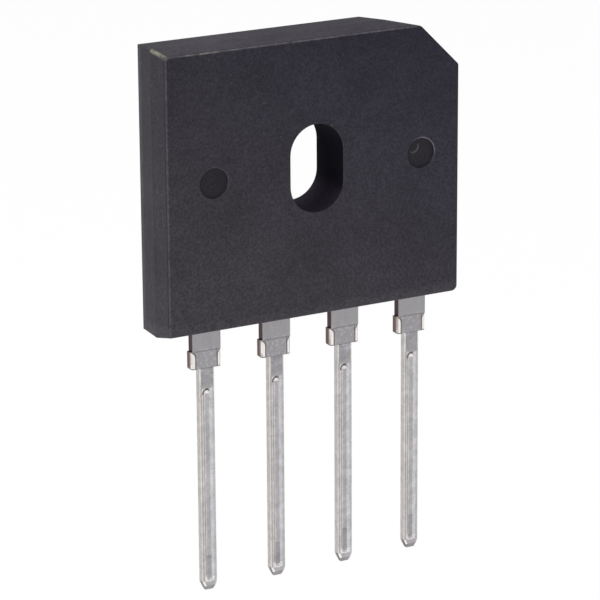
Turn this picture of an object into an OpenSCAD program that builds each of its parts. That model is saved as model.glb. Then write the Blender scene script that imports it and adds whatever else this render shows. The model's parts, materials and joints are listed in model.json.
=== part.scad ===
// Four-lead single-in-line bridge rectifier: a moulded epoxy body with a screw slot, four
// stamped leads, and the four diode dice, clips and solder joints that it holds inside.
//
// Frame, in millimetres: X runs along the lead row towards the bevelled corner, Y runs from the
// mounting face to the marked face, Z points up. The origin is at the middle of the lead row,
// halfway through the metal, on the board that the lead shoulders stand on.

/* [Moulded body] */
// Width of the body at its parting line
body_width = 21.8; // [21.4:0.1:23]
// Height of the body at its parting line
body_height = 18.8; // [18.2:0.1:20]
// Thickness from the mounting face to the marked face
body_thickness = 3.55; // [3.2:0.05:4]
// Depth of the parting line behind the mounting face
parting_depth = 1.5; // [1.3:0.05:1.9]
// Draft angle of the mould half that makes the mounting face
mounting_draft = 11.8; // [3:0.2:13]
// Draft angle of the mould half that makes the marked face
marked_draft = 1.4; // [1:0.2:8]
// Rounding of the edges round the marked face
marked_edge_radius = 0.26; // [0.1:0.02:0.6]
// Rounding of the edges round the mounting face
mounting_edge_radius = 0.12; // [0.04:0.02:0.2]
// How far the outer walls sit off the middle of the lead row, away from the bevelled corner
mould_offset = 0.06; // [0:0.01:0.1]
// Leg of the bevelled corner at the mounting face
bevel_leg = 2.86; // [2:0.02:3.4]
// Leg of the same corner at the parting line, because the bevel is drafted in each mould half
bevel_leg_parting = 5; // [3.6:0.02:5.2]
// Leg of the same corner at the marked face
bevel_leg_marked = 5.94; // [4.2:0.02:6.2]
// Radius of the lower corner under the bevel, seen from the front
corner_radius_plus = 0.5; // [0.2:0.05:0.8]
// Radius of the lower corner at the minus lead
corner_radius_minus = 0.15; // [0.1:0.05:0.8]
// Radius of the upper corner across from the bevel
corner_radius_top = 0.15; // [0.1:0.05:0.8]

/* [Screw slot] */
// Width of the slot, which lets an M3.5 screw through
slot_width = 3.85; // [3.2:0.05:4.2]
// Height of the slot, end to end
slot_height = 5.85; // [4.8:0.05:6.2]
// Distance from the top of the body down to the middle of the slot
slot_drop = 8.75; // [8.2:0.05:9.2]

/* [Ejector pin marks] */
// Diameter of the two marks that the mould's ejector pins leave
pin_mark_diameter = 2; // [1:0.1:3]
// Depth of the marks
pin_mark_depth = 0.12; // [0.05:0.01:0.3]
// Distance between the two marks, which lie level with the slot
pin_mark_spacing = 15.1; // [12:0.1:16]
// Distance of the pair's middle from the middle of the slot, towards the bevelled corner
pin_mark_offset = 0.14; // [0:0.02:0.3]

/* [Leads] */
// Distance between neighbouring leads
lead_pitch = 5.08; // [4.9:0.02:5.3]
// Thickness of the copper strip
lead_thickness = 0.54; // [0.4:0.01:0.6]
// Length of a lead from the body to its tip
lead_length = 17.7; // [14:0.1:20]
// Width of the narrow part that goes through the board
lead_width = 1.06; // [0.9:0.02:1.3]
// Rounding of the narrow part's long edges
lead_edge_radius = 0.06; // [0.02:0.01:0.1]
// Length of the pointed tip
tip_length = 0.6; // [0.3:0.05:1]
// Width of the tip's flat end
tip_width = 0.55; // [0.4:0.05:0.8]
// Thickness left at the tip's flat end
tip_thickness = 0.3; // [0.2:0.02:0.4]
// Width of the broad shoulder next to the body
shoulder_width = 2.03; // [1.7:0.01:2.3]
// Length of the shoulder, from the body to the board
shoulder_length = 2.42; // [2:0.02:2.8]

/* [Cut dam bar] */
// Height of the cut ends of the bar that once joined the leads
dam_bar_height = 1.2; // [0.9:0.05:1.5]
// How far each cut end stands out from the shoulder
dam_bar_stub = 0.12; // [0.05:0.01:0.2]
// Radius that the cutting punch rolled onto the front edge of the cut ends
dam_bar_roll = 0.38; // [0.2:0.02:0.38]
// Radius of the arch in which the rolled edge ends at the top
dam_bar_arch = 0.46; // [0.4:0.02:0.6]
// Rounding of the cut ends' lower corners, seen from the front
dam_bar_corner = 0.14; // [0.06:0.02:0.2]
// How far the punch pressed the front between the cut ends below the rest of the shoulder
dam_bar_press = 0.03; // [0.02:0.01:0.05]

/* [Coined stiffening rib] */
// Width of the groove pressed into the front of each lead
rib_width = 0.62; // [0.5:0.02:0.7]
// Width of the groove's floor
rib_floor_width = 0.36; // [0.2:0.02:0.44]
// Depth of the groove
rib_depth = 0.1; // [0.05:0.01:0.15]
// Height of the bead that the groove raises on the back
bead_height = 0.07; // [0.03:0.01:0.1]
// Distance from the shoulder down to the groove
rib_start = 1.4; // [0.8:0.1:2]
// Distance from the groove down to the tip
rib_end = 0.62; // [0.62:0.02:2]

/* [Lead frame inside the body] */
// Epoxy left between the pads and the body's sides and top
pad_cover = 1.4; // [1.2:0.1:1.6]
// Epoxy left between the pads and the bottom of the body
pad_rise = 1.6; // [1.2:0.1:1.8]
// Epoxy left between the pads and the slot
slot_cover = 0.9; // [0.7:0.05:1]
// Gap between neighbouring pads
pad_gap = 0.9; // [0.7:0.05:1]
// Width of the arm that each inner lead sends up beside the slot
arm_width = 2.4; // [2:0.1:2.5]
// Diameter of the hole through which epoxy locks each outer pad
lock_hole_diameter = 1.2; // [0.8:0.1:1.4]

/* [Diode dice and solder] */
// Side of a square die
die_size = 2.4; // [1.8:0.1:2.6]
// Thickness of a die
die_thickness = 0.28; // [0.2:0.02:0.3]
// Thickness of every solder joint
solder_thickness = 0.06; // [0.04:0.01:0.08]
// Side of the solder joint under a die
solder_size = 2.2; // [1.6:0.1:2.3]
// Side of the smaller solder joint on top of a die
anode_solder_size = 1.5; // [1:0.1:1.6]

/* [Connecting clips] */
// Width of a clip
clip_width = 1.8; // [1.6:0.1:2]
// Thickness of a clip
clip_thickness = 0.3; // [0.2:0.02:0.36]
// Length of a clip's foot on the pad that it lands on
clip_foot = 1.6; // [1.2:0.1:1.8]

/* [Hidden] */

epoxy_black = "#3a383d";
tinned = "#a9a7aa";
copper = "#b5764a";
silicon = "#4b4f5c";
solder_grey = "#8d9096";

past = 1; // how far a cutter runs past the face that it opens
nip = 0.004; // how far a corner's round stands clear of the walls that it blends

// Planes across the thickness
front = -lead_thickness / 2;
back = lead_thickness / 2;
parting = back;
mounting_face = parting - parting_depth;
marked_face = mounting_face + body_thickness;

// Levels
body_bottom = shoulder_length;
body_top = body_bottom + body_height;
slot_level = body_top - slot_drop;
lead_tip = body_bottom - lead_length;

// Lead positions along the row: plus stands under the bevelled corner
plus_x = 1.5 * lead_pitch;
ac_1_x = 0.5 * lead_pitch;
ac_2_x = -ac_1_x;
minus_x = -plus_x;

// Lead frame pads
pad_side = body_width / 2 - pad_cover;
pad_bottom = body_bottom + pad_rise;
pad_top = body_top - pad_cover;
arm_inner = slot_width / 2 + slot_cover;
arm_outer = arm_inner + arm_width;
bar_bottom = slot_level + slot_height / 2 + slot_cover;
arm_top = bar_bottom - pad_gap;
outer_pad_inner = arm_outer + pad_gap;
foot_of_slot = slot_level - slot_height / 2 - slot_cover;

// The stack on a pad, measured from the pad's back
die_floor = back + solder_thickness;
die_top = die_floor + die_thickness;
clip_floor = die_top + solder_thickness;
foot_floor = die_floor;

// Where the dice and the clips' feet lie
upper_die_x = (arm_inner + arm_outer) / 2;
upper_die_z = (bar_bottom + pad_top) / 2;
lower_die_z = (pad_bottom + foot_of_slot) / 2;
arm_foot_z = arm_top - clip_foot / 2 - solder_thickness;
minus_foot_x = minus_x;
clip_end = clip_width / 2;

// Draft: how far each half's walls lean in between the parting line and the face
mounting_lean = parting_depth * tan(mounting_draft);
marked_lean = (body_thickness - parting_depth) * tan(marked_draft);

// Middle of the outer walls
mould_x = -mould_offset;

// Bevelled corner: how far its wall falls inwards through each mould half, square to the wall
bevel_fall_mounting = (bevel_leg_parting - bevel_leg - 2 * mounting_lean) / sqrt(2);
bevel_fall_marked = (bevel_leg_marked - bevel_leg_parting + 2 * marked_lean) / sqrt(2);

// Section through the body between two drafted walls, with the thickness along 2D y
module section(low, high) {
    rm = mounting_edge_radius;
    rk = marked_edge_radius;
    cm = mounting_lean + rm * (1 - sin(mounting_draft)) / cos(mounting_draft);
    ck = marked_lean + rk * (1 - sin(marked_draft)) / cos(marked_draft);
    tm = [cm - rm * cos(mounting_draft), mounting_face + rm * (1 - sin(mounting_draft))];
    tk = [ck - rk * cos(marked_draft), marked_face - rk * (1 - sin(marked_draft))];
    polygon([[low + cm, mounting_face], [high - cm, mounting_face], [high - tm[0], tm[1]],
             [high, parting], [high - tk[0], tk[1]], [high - ck, marked_face],
             [low + ck, marked_face], [low + tk[0], tk[1]], [low, parting],
             [low + tm[0], tm[1]]]);
    for (x = [low + cm, high - cm])
        translate([x, mounting_face + rm]) circle(r = rm, $fn = 24);
    for (x = [low + ck, high - ck])
        translate([x, marked_face - rk]) circle(r = rk, $fn = 32);
}

// Moulded block: both mould halves, drafted on all four sides, meeting at the parting line
module block() {
    intersection() {
        translate([0, 0, body_bottom - past])
            linear_extrude(body_height + 2 * past)
                section(-body_width / 2, body_width / 2);
        translate([body_width / 2 + past, 0, 0])
            rotate([0, -90, 0])
                linear_extrude(body_width + 2 * past)
                    section(body_bottom, body_top);
    }
}

// Cutter for the bevelled corner, with its profile across the thickness laid out along 2D y:
// the wall falls inwards through the mounting half and further through the marked half
module bevel_cutter() {
    size = 2 * bevel_leg_marked;
    a = bevel_fall_mounting;
    b = bevel_fall_marked;
    m = a * past / parting_depth;
    k = b * past / (body_thickness - parting_depth);
    translate([body_width / 2 - bevel_leg_parting / 2, 0, body_top - bevel_leg_parting / 2])
        rotate([0, 45, 0])
            translate([-size / 2, 0, 0])
                rotate([90, 0, 90])
                    linear_extrude(size)
                        polygon([[mounting_face - past, a + m], [parting, 0],
                                 [marked_face + past, -b - k], [marked_face + past, size],
                                 [mounting_face - past, size]]);
}

// Cutter that rounds one lower corner of one mould half: side is -1 or 1 along X, and way is -1
// for the mounting half and 1 for the marked half. The round follows the draft of both walls.
module corner_cutter(side, r, draft, way) {
    t = tan(draft);
    n = sqrt(1 + 2 * t * t);
    reach = 2 * body_thickness;
    intersection() {
        translate([side * (body_width / 2 - r / cos(draft)), parting,
                   body_bottom + r / cos(draft)])
            rotate([-way * acos(t / n), 0, way * side * draft])
                translate([0, 0, -r])
                    linear_extrude(reach)
                        difference() {
                            translate([side < 0 ? -reach : 0, way < 0 ? -reach : 0])
                                square(reach);
                            translate([side * nip, way * nip]) circle(r = r, $fn = 32);
                        }
        translate([side < 0 ? -body_width : 0, parting + (way < 0 ? -reach : 0),
                   body_bottom - reach])
            cube([body_width, reach, 2 * reach]);
    }
}

// Round of one lower corner, through both mould halves
module corner_round(side, r) {
    corner_cutter(side, r, mounting_draft, -1);
    corner_cutter(side, r, marked_draft, 1);
}

// Outer shape of the moulding, with the bevelled corner and the other three rounded
module moulding() {
    difference() {
        block();
        bevel_cutter();
        corner_round(1, corner_radius_plus);
        corner_round(-1, corner_radius_minus);
        translate([0, 0, body_bottom + body_top])
            mirror([0, 0, 1]) corner_round(-1, corner_radius_top);
    }
}

// Screw slot, straight through the thickness
module slot() {
    reach = slot_height / 2 - slot_width / 2;
    translate([0, mounting_face - past, slot_level])
        rotate([-90, 0, 0]) {
            for (side = [-1, 1])
                translate([0, side * reach, 0])
                    cylinder(d = slot_width, h = body_thickness + 2 * past, $fn = 48);
            translate([-slot_width / 2, -reach, 0])
                cube([slot_width, 2 * reach, body_thickness + 2 * past]);
        }
}

// Shallow round marks left by the ejector pins
module pin_marks() {
    for (side = [-1, 1])
        translate([side * pin_mark_spacing / 2 + pin_mark_offset, mounting_face - past,
                   slot_level])
            rotate([-90, 0, 0])
                cylinder(d = pin_mark_diameter, h = pin_mark_depth + past, $fn = 48);
}

// Everything that the epoxy is moulded around
module insides() {
    lead_plus();
    lead_ac_1();
    lead_ac_2();
    lead_minus();
    die_ac_1_plus();
    die_ac_2_plus();
    die_minus_ac_1();
    die_minus_ac_2();
    clip_ac_1();
    clip_ac_2();
    clip_minus();
    solder_under_die_ac_1_plus();
    solder_under_die_ac_2_plus();
    solder_under_die_minus_ac_1();
    solder_under_die_minus_ac_2();
    solder_on_die_ac_1_plus();
    solder_on_die_ac_2_plus();
    solder_on_die_minus_ac_1();
    solder_on_die_minus_ac_2();
    solder_foot_ac_1();
    solder_foot_ac_2();
    solder_foot_minus();
}

// Body of black epoxy, moulded in one shot round the finished lead frame
module body() {
    color(epoxy_black)
        difference() {
            translate([mould_x, 0, 0]) moulding();
            slot();
            pin_marks();
            insides();
        }
}

// Flat piece of the lead frame, cut from strip to an outline in X and Z
module strip(points) {
    translate([0, back, 0])
        rotate([90, 0, 0])
            linear_extrude(lead_thickness) polygon(points);
}

// Rectangular stretch of strip between two corners
module strip_block(x0, z0, x1, z1) {
    strip([[x0, z0], [x1, z0], [x1, z1], [x0, z1]]);
}

// Narrow part of a lead, with rounded long edges and a tip tapered on all four sides
module shank() {
    r = lead_edge_radius;
    w = lead_width / 2;
    t = lead_thickness / 2;
    intersection() {
        translate([0, 0, lead_tip])
            linear_extrude(-lead_tip) {
                square([lead_width - 2 * r, lead_thickness], center = true);
                square([lead_width, lead_thickness - 2 * r], center = true);
                for (x = [r - w, w - r], y = [r - t, t - r])
                    translate([x, y]) circle(r = r, $fn = 24);
            }
        strip([[-tip_width / 2, lead_tip], [tip_width / 2, lead_tip], [w, lead_tip + tip_length],
               [w, 0], [-w, 0], [-w, lead_tip + tip_length]]);
        translate([-w, 0, 0])
            rotate([90, 0, 90])
                linear_extrude(lead_width)
                    polygon([[-tip_thickness / 2, lead_tip], [tip_thickness / 2, lead_tip],
                             [t, lead_tip + tip_length / 2], [t, 0], [-t, 0],
                             [-t, lead_tip + tip_length / 2]]);
    }
}

// Long stadium with sloping walls, between two levels, lying on the XZ plane and growing in +Y
module rib(base_width, top_width, height, low, high) {
    reach = (high - low - base_width) / 2;
    translate([0, 0, (low + high) / 2]) {
        for (side = [-1, 1])
            translate([0, 0, side * reach])
                rotate([-90, 0, 0])
                    cylinder(d1 = base_width, d2 = top_width, h = height, $fn = 32);
        translate([0, 0, -reach])
            linear_extrude(2 * reach)
                polygon([[-base_width / 2, 0], [base_width / 2, 0],
                         [top_width / 2, height], [-top_width / 2, height]]);
    }
}

// Cut ends of the dam bar on both sides of a shoulder, with a rolled front edge
module dam_bar_stubs() {
    w = shoulder_width / 2 + dam_bar_stub;
    r = dam_bar_roll;
    c = dam_bar_corner;
    intersection() {
        linear_extrude(dam_bar_height) {
            translate([-w, front + r]) square([2 * w, lead_thickness - r]);
            translate([r - w, front + dam_bar_press])
                square([2 * (w - r), lead_thickness - dam_bar_press]);
            for (x = [r - w, w - r])
                translate([x, front + r])
                    difference() {
                        circle(r = r, $fn = 32);
                        translate([-r, -r]) square([2 * r, dam_bar_press]);
                    }
        }
        translate([0, back, 0])
            rotate([90, 0, 0])
                linear_extrude(lead_thickness) {
                    translate([c - w, 0]) square([2 * (w - c), dam_bar_height]);
                    translate([-w, c]) square([2 * w, dam_bar_height - c]);
                    for (x = [c - w, w - c])
                        translate([x, c]) circle(r = c, $fn = 24);
                }
    }
    for (side = [-1, 1])
        arch(side);
}

// Corner that the punch left at full thickness between the shoulder and the rolled edge
module arch(side) {
    inset = dam_bar_roll - dam_bar_stub;
    r = dam_bar_arch;
    drop = sqrt(r * r - (r - inset) * (r - inset));
    edge = shoulder_width / 2;
    translate([0, back, dam_bar_height])
        rotate([90, 0, 0])
            linear_extrude(lead_thickness)
                difference() {
                    translate([side < 0 ? -edge : edge - inset, -drop]) square([inset, drop]);
                    translate([side * (edge - inset + r), -drop]) circle(r = r, $fn = 64);
                }
}

// The part of a lead that shows outside the body, and its root inside
module lead_outside() {
    half = shoulder_width / 2;
    rib_low = lead_tip + rib_end;
    slope = (rib_width - rib_floor_width) / 2 / rib_depth;
    mouth = rib_width + 2 * slope * rib_depth;
    difference() {
        union() {
            shank();
            dam_bar_stubs();
            strip_block(-half, dam_bar_height, half, pad_bottom);
            translate([0, back, 0])
                rib(rib_width, rib_floor_width, bead_height, rib_low, -rib_start);
        }
        translate([0, front - rib_depth, 0])
            rib(mouth, rib_floor_width, 2 * rib_depth,
                rib_low - slope * rib_depth, slope * rib_depth - rib_start);
    }
}

// Round hole through an outer pad, level with the top of the inner leads' pads
module lock_hole(x) {
    translate([x, front - past, foot_of_slot + lock_hole_diameter])
        rotate([-90, 0, 0])
            cylinder(d = lock_hole_diameter, h = lead_thickness + 2 * past, $fn = 32);
}

// Plus lead: its pad runs up the side and across the top, and carries two dice
module lead_plus() {
    bevel_cut = bevel_leg_marked - bevel_leg / 2;
    color(tinned)
        difference() {
            union() {
                translate([plus_x, 0, 0]) lead_outside();
                strip([[outer_pad_inner, pad_bottom], [pad_side, pad_bottom],
                       [pad_side, pad_top - bevel_cut], [pad_side - bevel_cut, pad_top],
                       [-pad_side, pad_top], [-pad_side, bar_bottom],
                       [outer_pad_inner, bar_bottom]]);
            }
            lock_hole(plus_x);
        }
}

// Pad of an inner lead: it carries a die below the slot and sends an arm up beside it
module inner_pad() {
    strip([[pad_gap / 2, pad_bottom], [arm_outer, pad_bottom], [arm_outer, arm_top],
           [arm_inner, arm_top], [arm_inner, foot_of_slot], [pad_gap / 2, foot_of_slot]]);
}

// First alternating-current lead, next to plus
module lead_ac_1() {
    color(tinned) {
        translate([ac_1_x, 0, 0]) lead_outside();
        inner_pad();
    }
}

// Second alternating-current lead, the mirror image of the first
module lead_ac_2() {
    color(tinned) {
        translate([ac_2_x, 0, 0]) lead_outside();
        mirror([1, 0, 0]) inner_pad();
    }
}

// Minus lead: its pad carries no die, and takes the foot of the long clip
module lead_minus() {
    color(tinned)
        difference() {
            union() {
                translate([minus_x, 0, 0]) lead_outside();
                strip_block(-pad_side, pad_bottom, -outer_pad_inner, arm_top);
            }
            lock_hole(minus_x);
        }
}

// Square wafer of solder or silicon, lying on a level across the thickness
module wafer(x, z, size_x, size_z, floor_y, thickness) {
    translate([x - size_x / 2, floor_y, z - size_z / 2])
        cube([size_x, thickness, size_z]);
}

// A diode die
module die(x, z) {
    color(silicon) wafer(x, z, die_size, die_size, die_floor, die_thickness);
}

// Solder between a pad and the die's cathode
module under_die(x, z) {
    color(solder_grey) wafer(x, z, solder_size, solder_size, back, solder_thickness);
}

// Solder between the die's anode and a clip
module on_die(x, z) {
    color(solder_grey)
        wafer(x, z, anode_solder_size, anode_solder_size, die_top, solder_thickness);
}

// Side view of a clip from its head at 0 to its foot: a flat, a slope and a lower flat
module clip_profile(reach, drop_from, drop_to) {
    drop = clip_floor - foot_floor;
    polygon([[-clip_end, 0], [drop_from, 0], [drop_to, -drop], [reach, -drop],
             [reach, clip_thickness - drop], [drop_to, clip_thickness - drop],
             [drop_from, clip_thickness], [-clip_end, clip_thickness]]);
}

// Short clip from the die on the top bar down to the arm of an inner lead
module upper_clip(x) {
    color(copper)
        translate([x - clip_width / 2, clip_floor, upper_die_z])
            rotate([0, 90, 0])
                linear_extrude(clip_width)
                    clip_profile(upper_die_z - arm_foot_z + clip_foot / 2,
                                 upper_die_z - bar_bottom, upper_die_z - arm_top);
}

// Clip from the first alternating-current lead to its die
module clip_ac_1() {
    upper_clip(upper_die_x);
}

// Clip from the second alternating-current lead to its die
module clip_ac_2() {
    upper_clip(-upper_die_x);
}

// Long clip across both lower dice, down to the minus lead's pad
module clip_minus() {
    color(copper)
        translate([ac_1_x, clip_floor, lower_die_z - clip_width / 2])
            mirror([1, 0, 0])
                linear_extrude(clip_width)
                    clip_profile(ac_1_x - minus_foot_x + clip_foot / 2,
                                 ac_1_x + arm_outer, ac_1_x + outer_pad_inner);
}

// Dice: cathodes on the pads, anodes under the clips
module die_ac_1_plus() {
    die(upper_die_x, upper_die_z);
}
module die_ac_2_plus() {
    die(-upper_die_x, upper_die_z);
}
module die_minus_ac_1() {
    die(ac_1_x, lower_die_z);
}
module die_minus_ac_2() {
    die(ac_2_x, lower_die_z);
}

// Solder joints under the dice
module solder_under_die_ac_1_plus() {
    under_die(upper_die_x, upper_die_z);
}
module solder_under_die_ac_2_plus() {
    under_die(-upper_die_x, upper_die_z);
}
module solder_under_die_minus_ac_1() {
    under_die(ac_1_x, lower_die_z);
}
module solder_under_die_minus_ac_2() {
    under_die(ac_2_x, lower_die_z);
}

// Solder joints on top of the dice
module solder_on_die_ac_1_plus() {
    on_die(upper_die_x, upper_die_z);
}
module solder_on_die_ac_2_plus() {
    on_die(-upper_die_x, upper_die_z);
}
module solder_on_die_minus_ac_1() {
    on_die(ac_1_x, lower_die_z);
}
module solder_on_die_minus_ac_2() {
    on_die(ac_2_x, lower_die_z);
}

// Solder joints under the clips' feet
module solder_foot_ac_1() {
    color(solder_grey)
        wafer(upper_die_x, arm_foot_z, clip_width, clip_foot, back, solder_thickness);
}
module solder_foot_ac_2() {
    color(solder_grey)
        wafer(-upper_die_x, arm_foot_z, clip_width, clip_foot, back, solder_thickness);
}
module solder_foot_minus() {
    color(solder_grey)
        wafer(minus_foot_x, lower_die_z, clip_foot, clip_width, back, solder_thickness);
}

body();
lead_plus();
lead_ac_1();
lead_ac_2();
lead_minus();
die_ac_1_plus();
die_ac_2_plus();
die_minus_ac_1();
die_minus_ac_2();
clip_ac_1();
clip_ac_2();
clip_minus();
solder_under_die_ac_1_plus();
solder_under_die_ac_2_plus();
solder_under_die_minus_ac_1();
solder_under_die_minus_ac_2();
solder_on_die_ac_1_plus();
solder_on_die_ac_2_plus();
solder_on_die_minus_ac_1();
solder_on_die_minus_ac_2();
solder_foot_ac_1();
solder_foot_ac_2();
solder_foot_minus();
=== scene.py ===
import json
from math import radians, sin, cos

import bpy
import bmesh
from mathutils import Vector, Matrix


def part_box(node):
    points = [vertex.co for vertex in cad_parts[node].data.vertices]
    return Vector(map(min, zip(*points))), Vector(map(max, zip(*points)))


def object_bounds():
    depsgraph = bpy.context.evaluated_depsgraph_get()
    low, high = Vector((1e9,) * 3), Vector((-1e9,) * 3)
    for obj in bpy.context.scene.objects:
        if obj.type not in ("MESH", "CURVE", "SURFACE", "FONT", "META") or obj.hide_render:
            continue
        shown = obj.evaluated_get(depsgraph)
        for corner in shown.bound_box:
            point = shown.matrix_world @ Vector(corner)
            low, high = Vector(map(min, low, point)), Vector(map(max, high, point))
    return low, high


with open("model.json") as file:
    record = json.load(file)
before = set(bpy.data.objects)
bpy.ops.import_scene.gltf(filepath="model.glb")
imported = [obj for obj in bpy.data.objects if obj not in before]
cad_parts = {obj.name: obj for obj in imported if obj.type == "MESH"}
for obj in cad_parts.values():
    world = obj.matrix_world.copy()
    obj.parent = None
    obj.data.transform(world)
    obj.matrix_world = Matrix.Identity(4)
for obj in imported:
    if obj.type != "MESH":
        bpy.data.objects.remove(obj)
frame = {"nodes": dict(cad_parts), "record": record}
low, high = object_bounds()
nodes = frame["nodes"]
mm = 0.001


# ---- Moulded body ----
# Black epoxy moulding compound with silica filler, transfer-moulded round the lead frame. The
# spark-eroded mould leaves a fine matt grain; the drafted walls drag along it when the part is
# pushed out and come out a little paler. The mounting face's edges and one upper corner carry
# painted highlights, partly also rubbing wear, and the slot and some edges carry painted shade.
body_low, body_high = (Vector(corner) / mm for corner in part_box("body"))
mounting_y, marked_y = body_low.y, body_high.y
mount_places = {mount["name"]: Vector(mount["pos_m"]) / mm for mount in frame["record"]["mounts"]}
slot_z = mount_places["screw_slot"].z
slot_radius = 1.925
slot_reach = 1.0  # from the slot's middle to the centre of each round end
mark_radius, mark_places = 1.0, (-7.41, 7.69)  # ejector marks, level with the slot
draft = 0.209  # the tangent of the mounting half's draft angle
grain_mm, speck_mm, patch_mm, flow_mm = 0.16, 0.3, 0.7, 5
paleness, paler_left, paler_down = 1.39, 0.0075, 0.0275  # a factor, and its change for each mm
blueness, bluer_right, bluer_up = -0.1, 0.03, 0.045


def linear(hex_colour):
    """sRGB hex to linear RGBA."""
    channels = [int(hex_colour[i:i + 2], 16) / 255 for i in (1, 3, 5)]
    return tuple(c / 12.92 if c <= 0.04045 else ((c + 0.055) / 1.055) ** 2.4
                 for c in channels) + (1.0,)


def add(tree, kind, settings=None, **inputs):
    """Adds a node with its properties. Inputs are set or linked by name, or as in0 or in7."""
    made = tree.nodes.new("ShaderNode" + kind)
    for name, value in (settings or {}).items():
        setattr(made, name, value)
    for name, value in inputs.items():
        name = name.replace("_", " ")
        socket = made.inputs[int(name[2:])] if name.startswith("in") and name[2:].isdigit() \
            else made.inputs[name]
        if isinstance(value, bpy.types.NodeSocket):
            tree.links.new(value, socket)
        else:
            socket.default_value = value
    return made


def new_material(name):
    """An empty material, its tree, and its surface's place in mm and facing, as X, Y and Z."""
    material = bpy.data.materials.new(name)
    material.use_nodes = True
    tree = material.node_tree
    tree.nodes.clear()
    spot = add(tree, "TexCoord")
    place = add(tree, "VectorMath", {"operation": "SCALE"}, in0=spot.outputs["Object"],
                Scale=1 / mm).outputs[0]
    return (material, tree, place, add(tree, "SeparateXYZ", in0=place).outputs,
            add(tree, "SeparateXYZ", in0=spot.outputs["Normal"]).outputs)


def dress(node_name, material):
    """Gives a CAD node one material."""
    slots = nodes[node_name].data.materials
    slots.clear()
    slots.append(material)


def near(tree, value, middle, reach, soft):
    """A mask that is 1 within reach of the middle and fades out over the soft width."""
    off = add(tree, "Math", {"operation": "SUBTRACT"}, in0=value, in1=middle).outputs[0]
    off = add(tree, "Math", {"operation": "ABSOLUTE"}, in0=off).outputs[0]
    return add(tree, "MapRange", {"interpolation_type": "SMOOTHSTEP"}, in0=off, in1=reach,
               in2=reach + soft, in3=1.0, in4=0.0).outputs[0]


def overlap(tree, first, *others):
    """The product of two or more masks."""
    for other in others:
        first = add(tree, "Math", {"operation": "MULTIPLY"}, in0=first, in1=other).outputs[0]
    return first


def away_from(tree, x, z, at_x, at_z):
    """Distance from a line that runs across the thickness."""
    step_x = add(tree, "Math", {"operation": "SUBTRACT"}, in0=x, in1=at_x).outputs[0]
    step_z = add(tree, "Math", {"operation": "SUBTRACT"}, in0=z, in1=at_z).outputs[0]
    both = add(tree, "CombineXYZ", X=step_x, Z=step_z).outputs[0]
    return add(tree, "VectorMath", {"operation": "LENGTH"}, in0=both).outputs["Value"]


def coat(tree, colour, hex_colour, *masks):
    """Lays a colour over another where all the masks allow it."""
    return add(tree, "Mix", {"data_type": "RGBA"}, in0=overlap(tree, *masks), in6=colour,
               in7=linear(hex_colour)).outputs[2]


epoxy, tree, place, at, facing = new_material("epoxy moulding compound, spark-eroded grain")
# Filler grain, a little coarser than the real 0.1 mm so that it shows, with wear patches and
# flow marks over it
grain = add(tree, "TexNoise", Vector=place, Scale=1 / grain_mm, Detail=3.0,
            Roughness=0.65).outputs[0]
flow = add(tree, "TexNoise", Vector=place, Scale=1 / flow_mm, Detail=2.0,
           Roughness=0.5).outputs[0]
patch = add(tree, "TexNoise", Vector=place, Scale=1 / patch_mm, Detail=2.0,
            Roughness=0.6).outputs[0]
grain_tone = add(tree, "MapRange", in0=grain, in1=0.3, in2=0.7, in3=0.66, in4=1.34).outputs[0]
flow_tone = add(tree, "MapRange", in0=flow, in1=0.3, in2=0.7, in3=0.88, in4=1.12).outputs[0]
patch_tone = add(tree, "MapRange", in0=patch, in1=0.3, in2=0.7, in3=0.93, in4=1.07).outputs[0]
# The faces are made paler towards the left and the leads, and bluish towards the upper bevel
pale_ramp_x = add(tree, "Math", {"operation": "MULTIPLY_ADD"}, in0=at["X"], in1=-paler_left,
              in2=paleness)
pale_ramp = add(tree, "Math", {"operation": "MULTIPLY_ADD"}, in0=at["Z"], in1=-paler_down,
            in2=pale_ramp_x.outputs[0]).outputs[0]
blue_x = add(tree, "Math", {"operation": "MULTIPLY_ADD"}, in0=at["X"], in1=bluer_right,
             in2=blueness)
blue = add(tree, "Math", {"operation": "MULTIPLY_ADD", "use_clamp": True}, in0=at["Z"],
           in1=bluer_up, in2=blue_x.outputs[0]).outputs[0]
colour = add(tree, "Mix", {"data_type": "RGBA"}, in0=blue, in6=linear("#343236"),
             in7=linear("#32303b")).outputs[2]
colour = add(tree, "Mix", {"data_type": "RGBA", "blend_type": "MULTIPLY"}, in0=1.0,
             in6=colour, in7=pale_ramp).outputs[2]

# Drafted walls, with a paler band on the side walls beside the marked face, a painted shade line
# where the mounting face's edge begins, and painted shade along the marked face's upper edge
wall = near(tree, facing["Y"], 0.0, 0.3, 0.05)
colour = coat(tree, colour, "#373539", wall, 0.6)
side = near(tree, facing["Z"], 0.0, 0.5, 0.1)
colour = coat(tree, colour, "#474448", side, near(tree, at["Y"], marked_y - 0.35, 0.2, 0.15),
              0.9)
# Painted shade: a thin dark line on the walls where the mounting face's rounded edge begins
colour = coat(tree, colour, "#26232a", wall, near(tree, at["Y"], mounting_y + 0.16, 0.05, 0.04),
              0.6)
# Painted shade along the marked face's upper rounded edge
marked_edge_shade = overlap(tree, near(tree, facing["Y"], 0.55, 0.42, 0.03),
                      near(tree, facing["Z"], 0.6, 0.5, 0.05))
colour = coat(tree, colour, "#151317", marked_edge_shade, 0.85)

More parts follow.
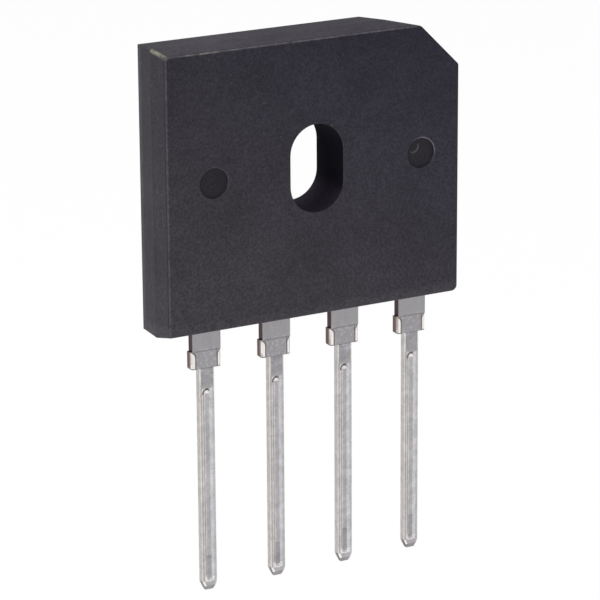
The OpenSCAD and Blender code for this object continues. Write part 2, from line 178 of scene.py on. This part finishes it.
# Rounded edge of the mounting face, painted pale as a highlight, and paler still along the top
# in rub marks that are part wear and part painted highlight, most of all near one corner
mounting_edge_highlight = near(tree, facing["Y"], -0.65, 0.3, 0.03)
colour = coat(tree, colour, "#4c494e", mounting_edge_highlight, 0.65)
scuff_and_highlight = add(tree, "MapRange", in0=patch, in1=0.42, in2=0.56, in3=0.0, in4=1.0).outputs[0]
top_edge_highlight_and_wear = overlap(tree, mounting_edge_highlight, near(tree, facing["Z"], 0.6, 0.5, 0.1))
colour = coat(tree, colour, "#66635f", top_edge_highlight_and_wear, scuff_and_highlight, near(tree, at["X"], -7.9, 1.2, 0.6))
colour = coat(tree, colour, "#56535a", top_edge_highlight_and_wear, scuff_and_highlight, near(tree, at["X"], -1.0, 5.0, 3.0),
              0.5)

# Upper corner across from the bevel, painted pale grey along the draft where the mould parted,
# part chipping and part painted highlight where its rounding catches light
slant_x = add(tree, "Math", {"operation": "MULTIPLY_ADD"}, in0=at["Y"], in1=draft, in2=at["X"])
slant_z = add(tree, "Math", {"operation": "MULTIPLY_ADD"}, in0=at["Y"], in1=-draft, in2=at["Z"])
corner = overlap(tree, near(tree, slant_x.outputs[0], body_low.x + 0.05, 0.16, 0.1),
                 near(tree, slant_z.outputs[0], body_high.z - 0.05, 0.16, 0.08),
                 near(tree, at["Y"], mounting_y + 0.65, 0.8, 0.1))
chips_and_highlight = add(tree, "MapRange", in0=patch, in1=0.38, in2=0.54, in3=0.25, in4=1.0).outputs[0]
colour = coat(tree, colour, "#6b6a60", corner, chips_and_highlight)

# Paler along the body's lower edge, and specks of filler anywhere
colour = coat(tree, colour, "#48444a", near(tree, at["Z"], body_low.z + 0.3, 0.35, 0.5), 0.5)
speck = add(tree, "TexNoise", Vector=place, Scale=1 / speck_mm, Detail=1.0,
            Roughness=0.4).outputs[0]
speck = add(tree, "MapRange", in0=speck, in1=0.71, in2=0.77, in3=0.0, in4=1.0).outputs[0]
colour = coat(tree, colour, "#4a474d", speck, 0.5)

# Slot wall, painted dark as shade inside the slot and made rough, and painted a little paler as
# light where it faces up
past_end = add(tree, "Math", {"operation": "SUBTRACT"}, in0=at["Z"], in1=slot_z).outputs[0]
past_end = add(tree, "Math", {"operation": "ABSOLUTE"}, in0=past_end).outputs[0]
past_end = add(tree, "Math", {"operation": "SUBTRACT"}, in0=past_end, in1=slot_reach).outputs[0]
past_end = add(tree, "Math", {"operation": "MAXIMUM"}, in0=past_end, in1=0.0).outputs[0]
from_slot = away_from(tree, at["X"], past_end, 0.0, 0.0)
shaded_slot_wall = overlap(tree, near(tree, from_slot, 0.0, slot_radius + 0.01, 0.02), wall,
                    near(tree, at["Y"], (mounting_y + marked_y) / 2, 1.72, 0.05))
colour = coat(tree, colour, "#0e0b15", shaded_slot_wall)
colour = coat(tree, colour, "#28242e", shaded_slot_wall, near(tree, facing["Z"], 1.0, 0.35, 0.6))

rough = add(tree, "MapRange", in0=grain, in1=0.3, in2=0.7, in3=0.56, in4=0.68).outputs[0]
rough = add(tree, "Math", {"operation": "MAXIMUM"}, in0=rough, in1=shaded_slot_wall).outputs[0]

# Ejector marks: dark pin prints, each with a thin painted highlight on one side of its rim, where
# the flash ridge catches light, and a nick in one
for mark_x in mark_places:
    from_mark = away_from(tree, at["X"], at["Z"], mark_x, slot_z)
    sunk = overlap(tree, near(tree, from_mark, 0.0, mark_radius - 0.08, 0.08),
                   near(tree, at["Y"], mounting_y + 0.5, 0.44, 0.02))
    colour = coat(tree, colour, "#27252a", sunk, 0.95)
    rim_highlight = overlap(tree, near(tree, from_mark, mark_radius + 0.04, 0.02, 0.03),
                  near(tree, at["Y"], mounting_y, 0.01, 0.02))
    highlight_side = add(tree, "Math", {"operation": "ADD"}, in0=at["X"], in1=at["Z"]).outputs[0]
    highlight_side = add(tree, "MapRange", in0=highlight_side, in1=mark_x + slot_z, in2=mark_x + slot_z + 1.3,
                in3=0.0, in4=0.8 if mark_x > 0 else 0.2).outputs[0]
    colour = coat(tree, colour, "#6d6a72", rim_highlight, highlight_side)
nick_x, nick_z = mark_places[1] - 0.55, slot_z + 0.5
from_nick = away_from(tree, at["X"], at["Z"], nick_x, nick_z)
nick = overlap(tree, near(tree, from_nick, 0.42, 0.04, 0.05),
               near(tree, at["X"], nick_x + 0.3, 0.35, 0.15),
               near(tree, at["Z"], nick_z - 0.3, 0.35, 0.15))
colour = coat(tree, colour, "#4d4a4e", nick, 0.7)

colour = add(tree, "Mix", {"data_type": "RGBA", "blend_type": "MULTIPLY"}, in0=1.0,
             in6=colour, in7=overlap(tree, grain_tone, flow_tone, patch_tone)).outputs[2]
bump = add(tree, "Bump", Strength=0.35, Distance=0.02 * mm, Height=grain).outputs[0]
surface = add(tree, "BsdfPrincipled", Base_Color=colour, Roughness=rough, Normal=bump,
              Specular_IOR_Level=0.1)
add(tree, "OutputMaterial", Surface=surface.outputs[0])
dress("body", epoxy)


# ---- Leads ----
# Copper strip, stamped, coined and plated with matt tin after moulding. The shoulders' sheared
# sides are bare browned copper, and the punch that cut the dam bar rolled its cut ends. The
# rolled ends, the shank's front edges and the groove's walls and ends carry painted highlights,
# and the creases round the rolled ends, the pressed line and the groove's upper end carry painted
# shade.
# Tips are dipped in solder.
lead_pitch, dam_bar_top, shank_edge = 5.08, 1.2, 0.53
struck_y = -0.27  # the face that the coining die strikes
arch_x, arch_z = 1.215, 0.786  # centre of the arch over a rolled end
groove_top, groove_low, groove_edge = -1.4, -14.66, 0.31
tip_z = low.z / mm
dip_line = tip_z + 2.3
tip_taper = 0.425  # how far each side runs in for each mm of a tip's length
minus_cut = -6.69  # where the cut on the minus side would lie, if it ran on up to z = 0
deep, high_up = -10.0, 3.0  # levels well down the shank and up inside the body
plate_mm, drawn_mm, stipple_mm, scrape_mm, cloud_mm = 0.12, 0.18, 0.2, 0.45, 0.8

tin, tree, place, at, facing = new_material("matt tin plate on stamped copper strip")
turn = add(tree, "Math", {"operation": "FLOORED_MODULO"}, in0=at["X"], in1=lead_pitch)
from_middle = add(tree, "Math", {"operation": "SUBTRACT"}, in0=turn.outputs[0],
                  in1=lead_pitch / 2).outputs[0]
off_middle = add(tree, "Math", {"operation": "ABSOLUTE"}, in0=from_middle).outputs[0]
# Plating grain, coarser than the real one so that it shows, and rolling marks drawn out along
# the strip
grain = add(tree, "TexNoise", Vector=place, Scale=1 / plate_mm, Detail=2.0,
            Roughness=0.6).outputs[0]
long_place = add(tree, "VectorMath", {"operation": "MULTIPLY"}, in0=place, in1=(1.0, 1.0, 0.12))
drawn = add(tree, "TexNoise", Vector=long_place.outputs[0], Scale=1 / drawn_mm, Detail=3.0,
            Roughness=0.6).outputs[0]
cloud = add(tree, "TexNoise", Vector=place, Scale=1 / cloud_mm, Detail=3.0,
            Roughness=0.6).outputs[0]
grain_tone = add(tree, "MapRange", in0=grain, in1=0.3, in2=0.7, in3=0.95, in4=1.05).outputs[0]
drawn_tone = add(tree, "MapRange", in0=drawn, in1=0.3, in2=0.7, in3=0.95, in4=1.05).outputs[0]
cloud_tone = add(tree, "MapRange", in0=cloud, in1=0.3, in2=0.7, in3=0.94, in4=1.06).outputs[0]
colour = add(tree, "RGB").outputs[0]
colour.default_value = linear("#9a989b")

front = near(tree, facing["Y"], -1.0, 0.03, 0.02)
sheared = near(tree, facing["Y"], 0.0, 0.3, 0.05)
shoulder = near(tree, at["Z"], high_up, high_up - dam_bar_top, 0.01)
band = near(tree, at["Z"], dam_bar_top / 2, dam_bar_top / 2, 0.01)
shank = near(tree, at["Z"], deep, -deep, 0.02)
grooved = near(tree, at["Z"], deep, groove_top + 0.02 - deep, 0.03)
struck = near(tree, at["Y"], struck_y + 0.05, 0.06, 0.02)

# Bare browned sides of the shoulders
colour = coat(tree, colour, "#3f2b2f", sheared, shoulder)

# Band between the cut ends, stippled by the punch, under a painted shade line along the step
# where it is pressed in
stipple = add(tree, "TexNoise", Vector=place, Scale=1 / stipple_mm, Detail=1.0).outputs[0]
stipple = add(tree, "MapRange", in0=stipple, in1=0.52, in2=0.64, in3=0.0, in4=1.0).outputs[0]
colour = coat(tree, colour, "#b2b0b5", front, near(tree, at["Z"], 0.35, 0.85, 0.3), stipple, 0.6)
colour = coat(tree, colour, "#7c7a7e", near(tree, at["Z"], dam_bar_top, 0.03, 0.03),
              near(tree, facing["Y"], -1.0, 1.2, 0.01), near(tree, off_middle, 0.0, 0.85, 0.1),
              near(tree, at["Y"], struck_y, 0.1, 0.02), 0.8)

# Rolled cut ends: a painted white highlight on the roll, inside a painted shade line that arches
# over them and runs along their foot, with a torn brown outer edge
turned = add(tree, "Math", {"operation": "ABSOLUTE"}, in0=facing["X"]).outputs[0]
up_arch = add(tree, "Math", {"operation": "MAXIMUM"}, in0=at["Z"], in1=arch_z).outputs[0]
from_arch = away_from(tree, off_middle, up_arch, arch_x, arch_z)
outer = near(tree, off_middle, 1.0, 0.4, 0.01)
colour = coat(tree, colour, "#f3efec", band, outer, near(tree, from_arch, 0.0, 0.4, 0.02))
colour = coat(tree, colour, "#7f7878", band, outer, near(tree, from_arch, 0.44, 0.04, 0.03),
              0.95)
torn = add(tree, "MapRange", in0=cloud, in1=0.4, in2=0.58, in3=0.0, in4=1.0).outputs[0]
colour = coat(tree, colour, "#a89a96", band, outer, near(tree, turned, 0.8, 0.16, 0.1), torn,
              0.8)
colour = coat(tree, colour, "#83766f", band, outer, near(tree, turned, 1.0, 0.14, 0.08), 0.9)
colour = coat(tree, colour, "#6d5c5c", band, sheared, near(tree, off_middle, 1.2, 0.16, 0.02))
colour = coat(tree, colour, "#6a5d5c", outer, near(tree, at["Z"], 0.02, 0.04, 0.03),
              near(tree, off_middle, 1.2, 0.36, 0.03), 0.8)

# Shank: paler sheared side with a painted highlight along the front edges, strips either side of
# the groove in slightly different tones, and painted highlights on the groove's walls
colour = coat(tree, colour, "#c0bdba", shank, sheared)
colour = coat(tree, colour, "#dbd6d3", shank, near(tree, off_middle, shank_edge, 0.07, 0.03),
              near(tree, facing["Y"], -0.55, 0.53, 0.02))
colour = coat(tree, colour, "#b0adb0", near(tree, at["Z"], deep, -1.6 - deep, 0.7), front)
colour = coat(tree, colour, "#b2acab", grooved, front,
              near(tree, from_middle, -0.43, 0.07, 0.03))
colour = coat(tree, colour, "#bab8bc", grooved, front,
              near(tree, from_middle, 0.43, 0.09, 0.02))
# Painted highlights on both walls of the groove
lit_groove_walls = overlap(tree, struck, grooved, near(tree, at["Z"], 0.0, -groove_low, 0.04))
colour = coat(tree, colour, "#d0cdcc", lit_groove_walls, near(tree, from_middle, -0.25, 0.1, 0.05))
colour = coat(tree, colour, "#cdccce", lit_groove_walls, near(tree, from_middle, 0.25, 0.07, 0.02))

# Groove ends: painted shade as a dark crescent and a painted highlight as a bright cap above,
# and a painted highlight as a bright curve below
top_arc = away_from(tree, from_middle, at["Z"], 0.0, groove_top - groove_edge)
upper_groove_end_light_and_shade = overlap(tree, struck, near(tree, at["Z"], groove_top + 0.1, 0.42, 0.05))
colour = coat(tree, colour, "#f0edea", upper_groove_end_light_and_shade, near(tree, top_arc, 0.0, 0.26, 0.05),
              near(tree, from_middle, 0.1, 0.19, 0.06), front, 0.9)
colour = coat(tree, colour, "#4f4a4a", upper_groove_end_light_and_shade, near(tree, top_arc, 0.3, 0.05, 0.03),
              near(tree, from_middle, -0.2, 0.22, 0.1), 0.9)
low_arc = away_from(tree, from_middle, at["Z"], 0.0, groove_low + groove_edge)
lower_groove_end_highlight = overlap(tree, struck, near(tree, at["Z"], groove_low, 0.3, 0.06))
colour = coat(tree, colour, "#fffdfb", lower_groove_end_highlight, near(tree, low_arc, 0.24, 0.08, 0.04),
              near(tree, at["Z"], groove_low, 0.22, 0.1))

# Solder dip on the last stretch of the groove, with a thick edge
inside = overlap(tree, near(tree, from_middle, 0.02, 0.16, 0.03), front,
                 near(tree, at["Y"], struck_y + 0.1, 0.04, 0.01))
colour = coat(tree, colour, "#a09da1", near(tree, at["Z"], dip_line - 5.0, 5.0, 0.05), inside)
colour = coat(tree, colour, "#8b888b", near(tree, at["Z"], dip_line, 0.03, 0.05), inside, 0.4)

# Sheared tips: dark and torn on the minus side, bright along the cut edges
tip = near(tree, at["Z"], tip_z, 0.6, 0.04)
colour = coat(tree, colour, "#6b5f63", tip, near(tree, facing["X"], -0.8, 0.5, 0.05),
              near(tree, at["Y"], -0.05, 0.12, 0.06))
colour = coat(tree, colour, "#f6f4f2", tip, near(tree, facing["X"], 0.8, 0.5, 0.05))
cut_edge = add(tree, "Math", {"operation": "MULTIPLY_ADD"}, in0=at["Z"], in1=tip_taper,
               in2=from_middle).outputs[0]
colour = coat(tree, colour, "#f6f3f0", tip, front, near(tree, cut_edge, minus_cut, 0.05, 0.04))

# Scraping from the coining die and from handling
scrape = add(tree, "TexNoise", Vector=place, Scale=1 / scrape_mm, Detail=3.0, Roughness=0.7)
scrape = add(tree, "MapRange", in0=scrape.outputs[0], in1=0.3, in2=0.7, in3=0.84, in4=1.16)
scrape = add(tree, "Mix", {"data_type": "FLOAT"}, in0=shank, in2=1.0, in3=scrape.outputs[0])
colour = add(tree, "Mix", {"data_type": "RGBA", "blend_type": "MULTIPLY"}, in0=1.0, in6=colour,
             in7=overlap(tree, grain_tone, drawn_tone, cloud_tone, scrape.outputs[0])).outputs[2]
bump = add(tree, "Bump", Strength=0.3, Distance=0.012 * mm, Height=drawn).outputs[0]
rough = add(tree, "MapRange", in0=cloud, in1=0.3, in2=0.7, in3=0.34, in4=0.5).outputs[0]
surface = add(tree, "BsdfPrincipled", Base_Color=colour, Metallic=1.0, Roughness=rough,
              Normal=bump)
add(tree, "OutputMaterial", Surface=surface.outputs[0])
for name in ("lead_plus", "lead_ac_1", "lead_ac_2", "lead_minus"):
    dress(name, tin)


# ---- Diode dice ----
# Sawn silicon wafers with diffused junctions. Their faces carry a thin nickel finish, mottled
# blue-grey, and the sawn sides are darker and show the saw's lines.
mottle_mm, saw_mm = 0.4, 0.3
silicon, tree, place, at, facing = new_material("diffused silicon, sawn and nickel-faced")
mottle = add(tree, "TexNoise", Vector=place, Scale=1 / mottle_mm, Detail=4.0).outputs[0]
saw = add(tree, "TexWave", {"bands_direction": "Y"}, Vector=place, Scale=1 / saw_mm,
          Distortion=1.5, Detail=2.0).outputs["Color"]
colour = add(tree, "Mix", {"data_type": "RGBA"}, in0=mottle, in6=linear("#454a58"),
             in7=linear("#6b7080")).outputs[2]
sawn = near(tree, facing["Y"], 0.0, 0.5, 0.1)
colour = coat(tree, colour, "#2b2d36", sawn, saw, 0.8)
rough = add(tree, "MapRange", in0=mottle, in1=0.3, in2=0.7, in3=0.24, in4=0.42).outputs[0]
surface = add(tree, "BsdfPrincipled", Base_Color=colour, Metallic=0.6, Roughness=rough)
add(tree, "OutputMaterial", Surface=surface.outputs[0])


# ---- Clips ----
# Bare copper strip, cut and bent. It keeps the rolling lines along its length and browns a
# little in the soldering furnace.
rolling_mm, brown_mm = 0.12, 1.2
copper, tree, place, *_ = new_material("bare copper strip, furnace-browned")
stretched = add(tree, "VectorMath", {"operation": "MULTIPLY"}, in0=place, in1=(0.2, 1.0, 1.0))
rolling = add(tree, "TexNoise", Vector=stretched.outputs[0], Scale=1 / rolling_mm,
              Detail=3.0).outputs[0]
brown = add(tree, "TexNoise", Vector=place, Scale=1 / brown_mm, Detail=3.0).outputs[0]
brown = add(tree, "MapRange", in0=brown, in1=0.4, in2=0.7, in3=0.0, in4=0.7).outputs[0]
colour = add(tree, "Mix", {"data_type": "RGBA"}, in0=rolling, in6=linear("#b0714a"),
             in7=linear("#c98a60")).outputs[2]
colour = coat(tree, colour, "#7d4a36", brown)
bump = add(tree, "Bump", Strength=0.3, Distance=0.01 * mm, Height=rolling).outputs[0]
rough = add(tree, "MapRange", in0=brown, in1=0.0, in2=0.7, in3=0.28, in4=0.5).outputs[0]
surface = add(tree, "BsdfPrincipled", Base_Color=colour, Metallic=1.0, Roughness=rough,
              Normal=bump)
add(tree, "OutputMaterial", Surface=surface.outputs[0])


# ---- Solder joints ----
# High-lead solder preforms, melted in the furnace. They set dull, with a frosty grain of about
# 0.1 mm and a few brighter spots.
frost_mm, spot_mm = 0.12, 0.35
solder, tree, place, *_ = new_material("dull high-lead solder")
frost = add(tree, "TexVoronoi", Vector=place, Scale=1 / frost_mm).outputs["Distance"]
spots = add(tree, "TexNoise", Vector=place, Scale=1 / spot_mm, Detail=3.0).outputs[0]
colour = add(tree, "Mix", {"data_type": "RGBA"}, in0=frost, in6=linear("#7f8288"),
             in7=linear("#a2a5aa")).outputs[2]
bright = add(tree, "MapRange", in0=spots, in1=0.55, in2=0.7, in3=0.0, in4=0.6).outputs[0]
colour = coat(tree, colour, "#c2c4c8", bright)
bump = add(tree, "Bump", Strength=0.4, Distance=0.01 * mm, Height=frost).outputs[0]
rough = add(tree, "MapRange", in0=spots, in1=0.3, in2=0.7, in3=0.58, in4=0.42).outputs[0]
surface = add(tree, "BsdfPrincipled", Base_Color=colour, Metallic=1.0, Roughness=rough,
              Normal=bump)
add(tree, "OutputMaterial", Surface=surface.outputs[0])
for name in nodes:
    kind = name.split("_")[0]
    if kind in ("die", "clip", "solder"):
        dress(name, {"die": silicon, "clip": copper, "solder": solder}[kind])


# ---- Camera ----
# It looks down a little at the mounting face from the left, through a long lens. Its stand is
# given by its turns about the aim, its distance, and a small step aside to frame the part.
yaw, rise, roll = radians(28.571), radians(17.264), radians(-0.373)
aim = Vector((-0.06, 0.47, 3.42)) * mm
distance_mm, step_left_mm, step_down_mm = 215.812, 0.279, 0.193
away = Vector((-sin(yaw) * cos(rise), -cos(yaw) * cos(rise), sin(rise)))
across = (-away).cross(Vector((0, 0, 1))).normalized()
upward = across.cross(-away)
across, upward = (across * cos(roll) + upward * sin(roll),
                  upward * cos(roll) - across * sin(roll))
stand = aim + (away * distance_mm - across * step_left_mm - upward * step_down_mm) * mm
lens = bpy.data.cameras.new("camera")
lens.lens = 198.98
lens.sensor_width = 36
lens.clip_start = 0.01
lens.clip_end = 20
camera = bpy.data.objects.new("camera", lens)
camera.matrix_world = Matrix((across, upward, away)).transposed().to_4x4()
camera.location = stand
bpy.context.scene.collection.objects.link(camera)
bpy.context.scene.camera = camera


# ---- Floor and light ----
# A pale floor some way under the tips, with large soft lamps above, on the left and in front.
# The camera, metal and glass see the floor as plain white, and it keeps a faint shadow.
floor_drop, floor_reach = 30 * mm, 3.0  # under the tips, and out to each side, in metres
glow_share = 0.96  # how much of the white doesn't depend on the light
floor_paint, tree, *_ = new_material("white studio floor")
ray = add(tree, "LightPath")
seen = add(tree, "Math", {"operation": "MAXIMUM"}, in0=ray.outputs["Is Camera Ray"],
           in1=ray.outputs["Is Glossy Ray"])
seen = add(tree, "Math", {"operation": "MAXIMUM"}, in0=seen.outputs[0],
           in1=ray.outputs["Is Transmission Ray"])
share = add(tree, "Math", {"operation": "MULTIPLY"}, in0=seen.outputs[0],
            in1=glow_share)
paint = add(tree, "BsdfDiffuse", Color=linear("#f4f4f4"))
glow = add(tree, "Emission", Color=linear("#fefefe"), Strength=1.0)
mixed = add(tree, "MixShader", in0=share.outputs[0], in1=paint.outputs[0], in2=glow.outputs[0])
add(tree, "OutputMaterial", Surface=mixed.outputs[0])
sheet = bmesh.new()
bmesh.ops.create_grid(sheet, x_segments=1, y_segments=1, size=floor_reach)
bmesh.ops.translate(sheet, verts=sheet.verts, vec=(0, 0, low.z - floor_drop))
mesh = bpy.data.meshes.new("floor")
sheet.to_mesh(mesh)
sheet.free()
floor = bpy.data.objects.new("floor", mesh)
floor.data.materials.append(floor_paint)
bpy.context.scene.collection.objects.link(floor)

world = bpy.data.worlds.new("studio")
bpy.context.scene.world = world
world.use_nodes = True
world.node_tree.nodes["Background"].inputs["Color"].default_value = (1, 1, 1, 1)
world.node_tree.nodes["Background"].inputs["Strength"].default_value = 0.4


def lamp(name, place_mm, size_mm, power):
    """A square soft lamp that faces the middle of the object."""
    light = bpy.data.lights.new(name, "AREA")
    light.shape = "SQUARE"
    light.size = size_mm * mm
    light.energy = power
    holder = bpy.data.objects.new(name, light)
    holder.location = Vector(place_mm) * mm
    facing = Vector((0, 0, 5 * mm)) - holder.location
    holder.rotation_euler = facing.to_track_quat("-Z", "Y").to_euler()
    bpy.context.scene.collection.objects.link(holder)


lamp("overhead", (-60, 60, 420), 320, 2.25)
lamp("left", (-430, -60, 120), 300, 0.72)
lamp("front", (120, -460, 60), 300, 0.35)

bpy.context.scene.view_settings.view_transform = "Standard"
